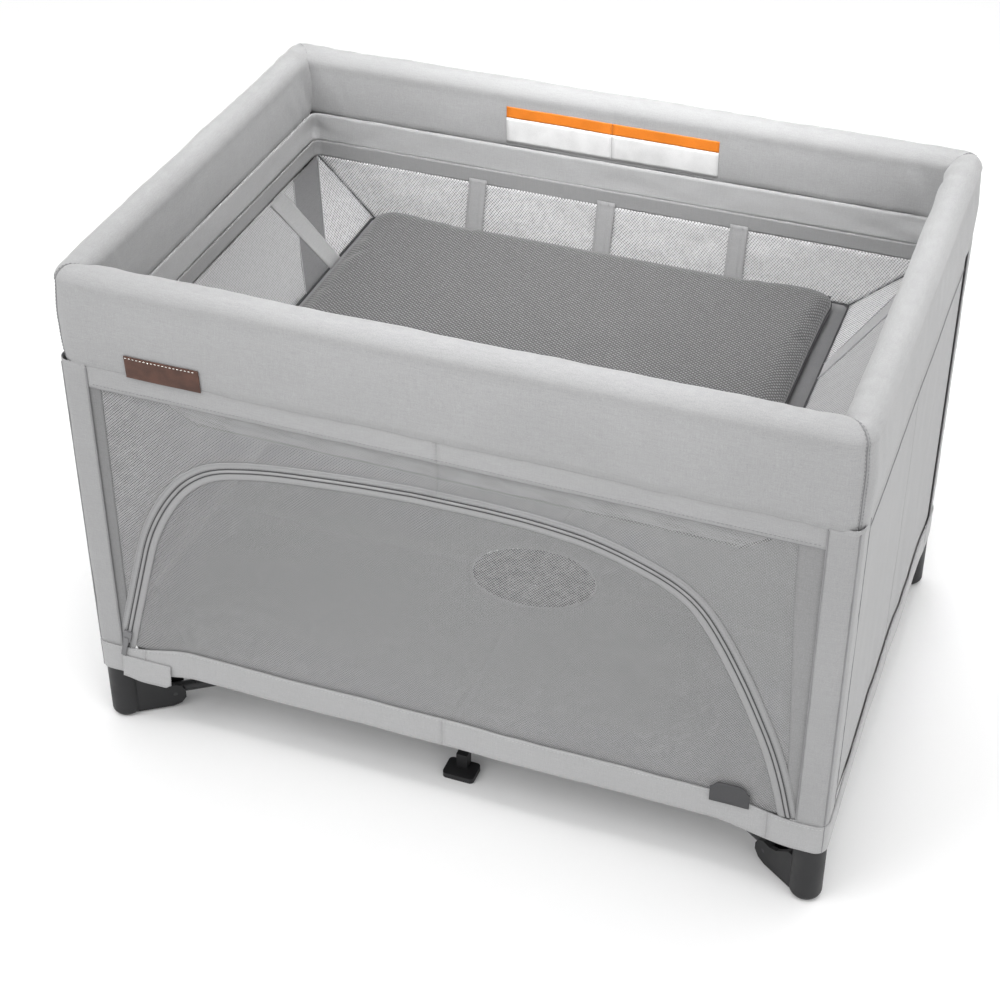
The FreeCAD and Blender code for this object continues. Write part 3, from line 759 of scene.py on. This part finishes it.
# ---- zipped door
def door():
    xs = linspace(-0.4718, 0.4672, 160)
    mesh = panel("door_mesh", xs, lambda x: HEM_TOP + 0.001, lambda x: max(arch_height(x), HEM_TOP + 0.002),
                 long_place(-1, 0.0), DOOR_NET, 34)
    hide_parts("door_panel")
    parts = [mesh]
    parts.append(arch_strip("zip_tape_inner", -0.0130, -0.0030, 0.0012, TAPE, lambda x: True, 0.0004))
    parts.append(arch_strip("zip_coil", -0.0024, 0.0024, 0.0014, COIL, lambda x: True, 0.0012))
    # the two groove strips are painted shade either side of the raised coil
    parts.append(arch_strip("zip_groove_inner", -0.0036, -0.0024, 0.0019, GROOVE_PAINTED_SHADE, lambda x: True))
    parts.append(arch_strip("zip_groove_outer", 0.0024, 0.0036, 0.0019, GROOVE_PAINTED_SHADE, lambda x: True))
    for part in parts:
        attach(part, "door")
        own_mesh(part)
    for letter, test in (("l", lambda x: x <= 0.012), ("r", lambda x: x >= -0.012)):
        tape = arch_strip(f"zip_tape_outer_{letter}", 0.0030, 0.0130, 0.0012, TAPE, test, 0.0004)
        body = f"corner_f{letter}"
        finish_wall(tape, body)
        for tag, offset in (("a", 0.0112), ("b", 0.0052)):
            line = [Vector((x, -WALL_Y - 0.0024 - wall_wave(x, z), z)) for x, z in arch_offset(offset)
                    if test(x) and z > HEM_TOP]
            thread = stitches(f"zip_stitch_{tag}_{letter}", line, SEAM_THREAD, 0.0026, 0.0018, 0.00035)
            finish_wall(thread, body)


door()


# ---- floor of the lower space
FLOOR_X, FLOOR_Y, FLOOR_CUT, FLOOR_END = 0.5125, 0.3565, 0.72, 0.808


def floor_level(x, y):
    """The sag and soft creases of the cloth floor."""
    return 0.1195 + 0.0026 * lump((x, y, 0), 8, 2.0) + 0.0030 * abs(lump((x * 2 + y, y, 0), 12, 6.0))


def floor_corner(name, sx, sy):
    """The floor's outer corner, past the base tube's pivot, sewn to the corner of the frame."""
    rows = []
    for n in range(21):
        row = []
        for k in range(9):
            total = FLOOR_CUT + (FLOOR_END - FLOOR_CUT) * k / 8
            near, far = total - FLOOR_Y, FLOOR_X
            x = near + (far - near) * n / 20
            px, py = sx * x, sy * (total - x)
            row.append(Vector((px, py, floor_level(px, py))))
        rows.append(row)
    cloth = thicken(lattice(f"floor_corner_{name}", rows, FLOOR_CLOTH_SHADED), 0.0018, 0)
    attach(cloth, f"corner_{name}")


def floor_quadrant(name, sx, sy):
    half_x, half_y, chamfer = FLOOR_X, FLOOR_Y, FLOOR_CUT
    major, minor = 0.095, 0.068
    rows = []
    for n in range(37):
        a = math.pi / 2 * n / 36
        hole = Vector((major * math.cos(a), minor * math.sin(a)))
        reach = min(half_x / max(math.cos(a), 1e-6), half_y / max(math.sin(a), 1e-6),
                    chamfer / (math.cos(a) + math.sin(a)))
        rim = Vector((reach * math.cos(a), reach * math.sin(a)))
        row = []
        for k in range(41):
            t = k / 40
            p = hole.lerp(rim, t)
            x, y = sx * p.x, sy * p.y
            row.append(Vector((x, y, floor_level(x, y))))
        rows.append(row)
    cloth = thicken(lattice(f"floor_{name}", rows, FLOOR_CLOTH_SHADED), 0.0018, 0)
    if name == "fl":
        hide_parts("floor")
    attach(cloth, f"base_{name}")
    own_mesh(cloth)
    rim = tube(f"floor_rim_{name}", [row[0] + Vector((0, 0, 0.0012)) for row in rows], 0.0024, BAND, 8)
    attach(rim, f"base_{name}")
    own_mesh(rim)


for corner, (sx, sy) in CORNERS.items():
    floor_quadrant(corner, sx, sy)
    floor_corner(corner, sx, sy)


# ---- bassinet
TUB_TOP, TUB_LOW = 0.577, 0.4985
TOP_X, TOP_Y, LOW_X, LOW_Y = 0.468, 0.314, 0.368, 0.293


def tub_point(x_share, y_share, height_share):
    hx = LOW_X + (TOP_X - LOW_X) * height_share
    hy = LOW_Y + (TOP_Y - LOW_Y) * height_share
    return Vector((x_share * hx, y_share * hy, TUB_LOW + (TUB_TOP - TUB_LOW) * height_share))


def loop(half_x, half_y, radius, steps_long=60, steps_short=40, steps_turn=6):
    """Points and outward directions round a rounded rectangle."""
    out = []
    for quadrant in range(4):
        sx, sy = ((1, -1), (1, 1), (-1, 1), (-1, -1))[quadrant]
        start = -math.pi / 2 + quadrant * math.pi / 2
        cx, cy = sx * (half_x - radius), sy * (half_y - radius)
        for n in range(steps_turn + 1):
            a = start + math.pi / 2 * n / steps_turn
            out.append(((cx + radius * math.cos(a), cy + radius * math.sin(a)), (math.cos(a), math.sin(a))))
        nx, ny = ((1, 1), (-1, 1), (-1, -1), (1, -1))[quadrant]
        ex, ey = nx * (half_x - radius), ny * (half_y - radius)
        a = start + math.pi / 2
        p0 = Vector((cx + radius * math.cos(a), cy + radius * math.sin(a)))
        p1 = Vector((ex + radius * math.cos(a), ey + radius * math.sin(a)))
        steps = steps_short if quadrant % 2 == 0 else steps_long
        for n in range(1, steps):
            p = p0.lerp(p1, n / steps)
            out.append(((p.x, p.y), (math.cos(a), math.sin(a))))
    return out


def tub_band(name, low, high, half_x, half_y, mat, wrinkle, thickness):
    rows = []
    for c, d in loop(half_x, half_y, 0.012):
        row = []
        for k in range(9):
            t = k / 8
            near = min(abs(abs(c[0]) - half_x) + abs(abs(c[1]) - half_y), 0.25)
            gather = 1 + 2.2 * max(0.0, 1 - near / 0.16)
            move = wrinkle * gather * noise.noise(Vector((c[0] * 42 + c[1] * 42, t * 1.4, 8.3 + low)))
            sag = 0.0035 * noise.noise(Vector((c[0] * 6, c[1] * 6, 2.2)))
            z = low + (high - low) * t + (sag if t < 0.5 else 0)
            o = move * math.sin(math.pi * t)
            row.append(outward(c, d, o, z))
        rows.append(row)
    rows.append(rows[0])
    obj = thicken(lattice(name, rows, mat), thickness, 0)
    ride_as_cloth(obj, "bassinet")
    return obj


def tub_wall(name, side, mat, columns=70):
    rows = []
    for n in range(columns + 1):
        s = -1.0 + 2.0 * n / columns
        row = []
        for k in range(17):
            t = k / 16
            p = tub_point(s, side, t)
            wave = 0.0030 * lump(p, 16, 5) * math.sin(math.pi * t) + 0.0012 * lump(p, 50, 2)
            row.append(p + Vector((0, side * wave, 0)))
        rows.append(row)
    obj = thicken(lattice(name, rows, mat), 0.0009, 0)
    return obj


def end_patch(name, side, low_edge, high_edge, mat, lift, columns=24):
    """Part of an end wall between two edges, each given as its share of the width at the bottom and top."""
    rows = []
    for n in range(columns + 1):
        row = []
        for k in range(17):
            t = k / 16
            a = low_edge[0] + (low_edge[1] - low_edge[0]) * t
            b = high_edge[0] + (high_edge[1] - high_edge[0]) * t
            share = max(-1.0, min(1.0, a + (b - a) * n / columns))
            p = tub_point(side, share, t)
            wave = 0.0022 * lump(p, 16, 5) * math.sin(math.pi * t) + 0.0008 * lump(p, 50, 2)
            row.append(p - Vector((side * (lift - wave), 0, 0)))
        rows.append(row)
    obj = thicken(lattice(name, rows, mat), 0.0009, 0)
    ride_as_cloth(obj, "bassinet")
    return obj


def tub_end(side, name):
    """An end of the bassinet: open mesh, a panel and a strap before each corner, light mesh beyond; on the
    left end the panels are near-black, painted shade of corner cloth lying in shadow.
    """
    left = side < 0
    wall = end_patch(f"tub_{name}", side, (-0.30, -0.80), (0.30, 0.80), END_NET, 0.0, 60)
    for sy, letter in ((-1, "f"), (1, "b")):
        inner = (sy * 0.16, sy * 0.72) if left else (sy * 0.30, sy * 0.80)
        outer = (sy * 0.43, sy * 1.0)
        # left end: near-black panels, painted shade where the corner cloth lies in shadow; right end: pale
        # panels
        panel_mat = SHADED_CORNER_PANEL if left else STRIP_PALE
        end_patch(f"tub_panel_{name}_{letter}", side, inner, outer, panel_mat, 0.0012, 16)
        end_patch(f"tub_gusset_{name}_{letter}", side, outer, (sy * 1.0, sy * 1.0), TUB_NET, 0.0006, 16)
        if left:
            strap_low, strap_high = (sy * 0.44, sy * 0.46), (sy * 0.56, sy * 0.60)
            end_patch(f"tub_end_strap_{letter}", side, strap_low, strap_high, WEBBING, 0.0030, 6)
        for tag, edge in (("inner", inner), ("outer", outer)):
            line = [tub_point(side, edge[0] + (edge[1] - edge[0]) * t, t) - Vector((side * 0.0022, 0, 0))
                    for t in linspace(0.02, 0.98, 12)]
            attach(tube(f"tub_{tag}_seam_{name}_{letter}", line, 0.0007, SEAM_THREAD, 6), "bassinet")
        pipe = [tub_point(side, sy, t) for t in linspace(-0.05, 1.05, 12)]
        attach(tube(f"tub_piping_{name}_{letter}", pipe, 0.0020, PIPING, 8), "bassinet")


def bassinet():
    band = tub_band("tub_band", 0.599, 0.646, 0.4735, 0.3175, BAND, 0.0022, 0.0014)
    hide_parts("bassinet")
    tub_band("tub_webbing", TUB_TOP - 0.001, 0.602, 0.4705, 0.3155, WEBBING, 0.0004, 0.0018)
    for side, name in ((-1, "front"), (1, "back")):
        wall = tub_wall(f"tub_{name}", side, TUB_NET)
        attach(wall, "bassinet")
        for n, x in enumerate((-0.204, -0.004, 0.196)):
            points = []
            for t in linspace(0.02, 1.10, 14):
                centre = tub_point(0, side, min(t, 1.0))
                z = TUB_LOW + (TUB_TOP - TUB_LOW) * t
                y = centre.y - side * 0.0045 if t <= 1 else side * (TOP_Y - 0.003)
                points.append((y, z))
            rows = [[Vector((x + w, y, z)) for w in linspace(-0.0135, 0.0135, 6)] for y, z in points]
            strap = thicken(lattice(f"tub_strap_{name}_{n}", rows, WEBBING), 0.0014, 0)
            ride_as_cloth(strap, "bassinet")
            for k, e in enumerate((1, 4)):
                line = [r[e] - Vector((0, side * 0.0010, 0)) for r in rows]
                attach(stitches(f"tub_strap_stitch_{name}_{n}_{k}", line, SEAM_THREAD), "bassinet")
    for side, name in ((-1, "left"), (1, "right")):
        tub_end(side, name)
    rows = []
    for n in range(31):
        x = -LOW_X + 2 * LOW_X * n / 30
        rows.append([Vector((x, y, TUB_LOW - 0.002)) for y in linspace(-LOW_Y, LOW_Y, 24)])
    board = thicken(lattice("tub_board", rows, BOARD), 0.004, 0)
    ride_as_cloth(board, "bassinet")
    rim = [Vector((c[0], c[1], TUB_LOW)) for c, d in loop(LOW_X, LOW_Y, 0.012)]
    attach(tube("tub_bottom_piping", rim, 0.0022, PIPING, 8, closed=True), "bassinet")


bassinet()


# ---- mattress
def mattress():
    low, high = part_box("mattress")
    half_x, half_y = high.x - 0.004, high.y - 0.004
    bottom, top = low.z + 0.001, high.z - 0.003
    rows = []
    profile = [(0.0, 0.0), (0.004, 0.0), (0.0085, 0.08), (0.010, 0.08), (0.010, 0.5), (0.010, 0.90),
               (0.008, 0.97), (0.003, 1.0), (-0.004, 1.0)]
    rim = loop(half_x - 0.010, half_y - 0.010, 0.016)
    for out, share in profile:
        rows.append([Vector((c[0] + d[0] * out, c[1] + d[1] * out, bottom + (top - bottom) * share))
                     for c, d in rim])
    pad = lattice("mattress_pad", rows, SPACER, closed=True, caps=True)
    pad = swell(pad, 0.006, 0.012, 4.0)
    mod = pad.modifiers.new("round", "SUBSURF")
    mod.levels = 1
    apply_modifiers(pad)
    keep_above(pad, bottom - 0.0005)
    pad.data.materials.append(BORDER)
    for poly in pad.data.polygons:
        c = poly.center
        poly.material_index = 1 if c.z < top - 0.008 else 0
        poly.use_smooth = True
    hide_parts("mattress")
    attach(pad, "mattress")
    bpy.context.view_layer.update()

    def on_pad(x, y, z):
        """The nearest point of the finished pad."""
        return pad.closest_point_on_mesh(Vector((x, y, z)))[1].copy()

    line = [on_pad(c[0] + d[0] * 0.012, c[1] + d[1] * 0.012, top - 0.010) for c, d in rim]
    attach(tube("mattress_piping", line, 0.0016, PIPING, 8, closed=True), "mattress")
    for n, (sx, sy) in enumerate(CORNERS.values()):
        at = on_pad(sx * (half_x - 0.012), sy * (half_y - 0.004), top - 0.004)
        rows = [[at + Vector((u, v, w)) for u in (-0.005, 0, 0.005)]
                for v, w in ((-0.004, 0.0), (0.0, 0.0012), (0.004, 0.0))]
        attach(thicken(lattice(f"mattress_tab_{n}", rows, PIPING), 0.001, 0), "mattress")


def swell(obj, voxel, limit, pressure):
    """Cloth under pressure, with each point's travel capped, applied to the mesh."""
    mod = obj.modifiers.new("remesh", "REMESH")
    mod.mode = "VOXEL"
    mod.voxel_size = voxel
    apply_modifiers(obj)
    before = np.array([v.co for v in obj.data.vertices], float)
    cloth = obj.modifiers.new("cloth", "CLOTH")
    cloth.settings.use_pressure = True
    cloth.settings.uniform_pressure_force = pressure
    cloth.settings.effector_weights.gravity = 0
    cloth.settings.quality = 5
    cloth.settings.mass = 0.3
    cloth.settings.tension_stiffness = 15
    cloth.settings.bending_stiffness = 2.0
    scene = bpy.context.scene
    for n in range(1, 21):
        scene.frame_set(n)
    graph = bpy.context.evaluated_depsgraph_get()
    made = obj.evaluated_get(graph).to_mesh()
    after = np.array([v.co for v in made.vertices], float)
    obj.evaluated_get(graph).to_mesh_clear()
    obj.modifiers.clear()
    scene.frame_set(1)
    move = after - before
    size = np.linalg.norm(move, axis=1)
    move *= (np.minimum(size, limit) / np.maximum(size, 1e-9))[:, None]
    obj.data.vertices.foreach_set("co", (before + move).astype(np.float32).ravel())
    obj.data.update()
    return obj


def keep_above(obj, level):
    for v in obj.data.vertices:
        v.co.z = max(v.co.z, level)
    obj.data.update()


mattress()


# ---- tags, labels, hem flap
def patch(name, xs, zs, place, mat, thickness):
    rows = [[place(x, z) for z in zs] for x in xs]
    return thicken(lattice(name, rows, mat), thickness, 0)


def cover_face(side, x, z, lift):
    """A point just off the outer (1) or inner (-1) face of a long rail's cover."""
    ring = cover_ring((x, side[0] * POST_Y), (0, side[0]))
    faces = [p for p in ring if (p.y * side[0] > POST_Y) == (side[1] > 0)]
    faces = [p for p in faces if COVER_LOW + 0.003 < p.z < COVER_TOP - 0.012]
    if side[1] < 0:
        faces = [p for p in faces if p.z > INNER_LOW + 0.003]
    faces.sort(key=lambda p: p.z)
    y = float(np.interp(z, [p.z for p in faces], [p.y for p in faces]))
    return Vector((x, y + side[0] * side[1] * lift, z))


def trim():
    tag = patch("leather_tag_sewn", linspace(-0.418, -0.314, 24), linspace(0.6045, 0.6375, 8),
                lambda x, z: cover_face((-1, 1), x, z, 0.0016), LEATHER, 0.0016)
    mod = tag.modifiers.new("edge", "BEVEL")
    mod.width = 0.0005
    mod.segments = 2
    apply_modifiers(tag)
    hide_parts("leather_tag")
    points = [cover_face((-1, 1), x, 0.6348, 0.0026) for x in linspace(-0.4165, -0.3155, 40)]
    sewn = stitches("leather_tag_stitch", points, WHITE_THREAD, 0.0030, 0.0022, 0.0005)
    for part in (tag, sewn):
        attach(part, "long_fl")
        flatten_rail(part)
    for letter, start, end in (("l", -0.161, 0.0), ("r", 0.0, 0.158)):
        for part, low, high, mat in (("head", 0.692, 0.709, LABEL_ORANGE),
                                     ("body", 0.652, 0.692, LABEL_WHITE)):
            xs, zs = linspace(start, end - 0.0004, 24), linspace(low, high, 8)
            label = patch(f"blank_label_{part}_{letter}", xs, zs,
                          lambda x, z: cover_face((1, -1), x, z, 0.0010), mat, 0.0006)
            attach(label, f"long_b{letter}")
            flatten_rail(label)
    rows = []
    for x in linspace(0.366, 0.418, 26):
        edge = min(x - 0.366, 0.418 - x)
        top = HEM_TOP + 0.034 - 0.010 * (1 - smooth(edge / 0.012))
        rows.append([long_place(-1, 0.0058)(x, HEM_TOP + 0.001 + (top - HEM_TOP - 0.001) * k / 6)
                     for k in range(7)])
    hem_tag = thicken(lattice("blank_hem_tag", rows, RUBBER), 0.0016, 0)
    finish_wall(hem_tag, "corner_fr")

    rows = []
    for x in linspace(-0.478, -0.404, 30):
        gone = smooth((x + 0.418) / 0.014)
        low = 0.0925 - 0.004 * smooth((x + 0.478) / 0.03) + 0.006 * gone ** 3
        rows.append([Vector((x, -WALL_Y - 0.0062 - 0.004 * (1 - k / 8) - 0.0008 * lump((x, k, 0), 30),
                             low + (0.126 - low) * k / 8)) for k in range(9)])
    flap = thicken(lattice("hem_flap", rows, HEM), 0.0018, 0)
    ride_as_cloth(flap, "corner_fl")


trim()


# ---- well under the floor's opening, near-black: painted shade of the recess
def well():
    rows = []
    for r, z in ((0.0305, 0.082), (0.060, 0.081), (0.092, 0.082), (0.100, 0.088),
                 (0.103, 0.104), (0.104, 0.110)):
        rows.append([Vector((r * math.cos(a), r * 0.75 * math.sin(a) if r > 0.05 else r * math.sin(a), z))
                     for a in (2 * math.pi * k / 64 for k in range(64))])
    # the dish is near-black as painted shade of the recess round the hub
    cup = thicken(lattice("hub_well", rows, WELL_PAINTED_SHADE, closed=True), 0.0016, 0)
    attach(cup, "hub")


well()


# ---- materials of the frame's own pieces
def dress():
    looks = {"foot": FOOT, "post": STEEL, "bracket": FRAME_PLASTIC, "base": STEEL, "rail": STEEL,
             "latch": FRAME_PLASTIC, "button": BUTTON, "hub": FRAME_PLASTIC, "fold": FOOT, "mid": FOOT,
             "bassinet_bars": STEEL, "zip": SLIDER}
    for name, obj in NODES.items():
        for start, look in looks.items():
            if name.startswith(start):
                obj.data.materials.clear()
                obj.data.materials.append(look)


dress()


# ---- stage, light, camera
def stage():
    bpy.ops.mesh.primitive_plane_add(size=40, location=(0, 0, -0.0005))
    ground = bpy.context.object
    ground.name = "ground"
    ground.data.materials.append(material("ground", (0.92, 0.92, 0.92), 0.9)[0])
    world = bpy.data.worlds.new("studio")
    bpy.context.scene.world = world
    world.use_nodes = True
    world.node_tree.nodes["Background"].inputs[0].default_value = (1, 1, 1, 1)
    world.node_tree.nodes["Background"].inputs[1].default_value = 0.75
    lamps = (("key", (-2.2, -2.6, 3.6), 2.6, 76), ("fill", (3.2, -1.6, 2.6), 2.6, 40),
             ("top", (0.2, 0.6, 3.8), 3.0, 55), ("inner", (0.25, -0.75, 2.6), 0.7, 3.4))
    for name, place, size, power in lamps:
        lamp = bpy.data.lights.new(name, "AREA")
        lamp.energy = power
        lamp.size = size
        if name == "inner":
            lamp.spread = math.radians(38)
        obj = bpy.data.objects.new(name, lamp)
        obj.location = place
        aim = Vector((0, 0.25, 0.62)) if name == "inner" else Vector((0, 0, 0.35))
        obj.rotation_euler = (aim - Vector(place)).to_track_quat("-Z", "Y").to_euler()
        bpy.context.scene.collection.objects.link(obj)


stage()

camera_data = bpy.data.cameras.new("camera")
camera = bpy.data.objects.new("camera", camera_data)
bpy.context.scene.collection.objects.link(camera)
camera.location = (0.7714, -2.2164, 2.0389)
camera.rotation_euler = (math.pi / 2 - 0.5993, 0, 0.3562)
camera_data.sensor_width = 36.0
camera_data.lens = 74.157
camera_data.shift_y = -0.1
camera_data.dof.use_dof = False
bpy.context.scene.camera = camera
bpy.context.scene.view_settings.view_transform = "Standard"
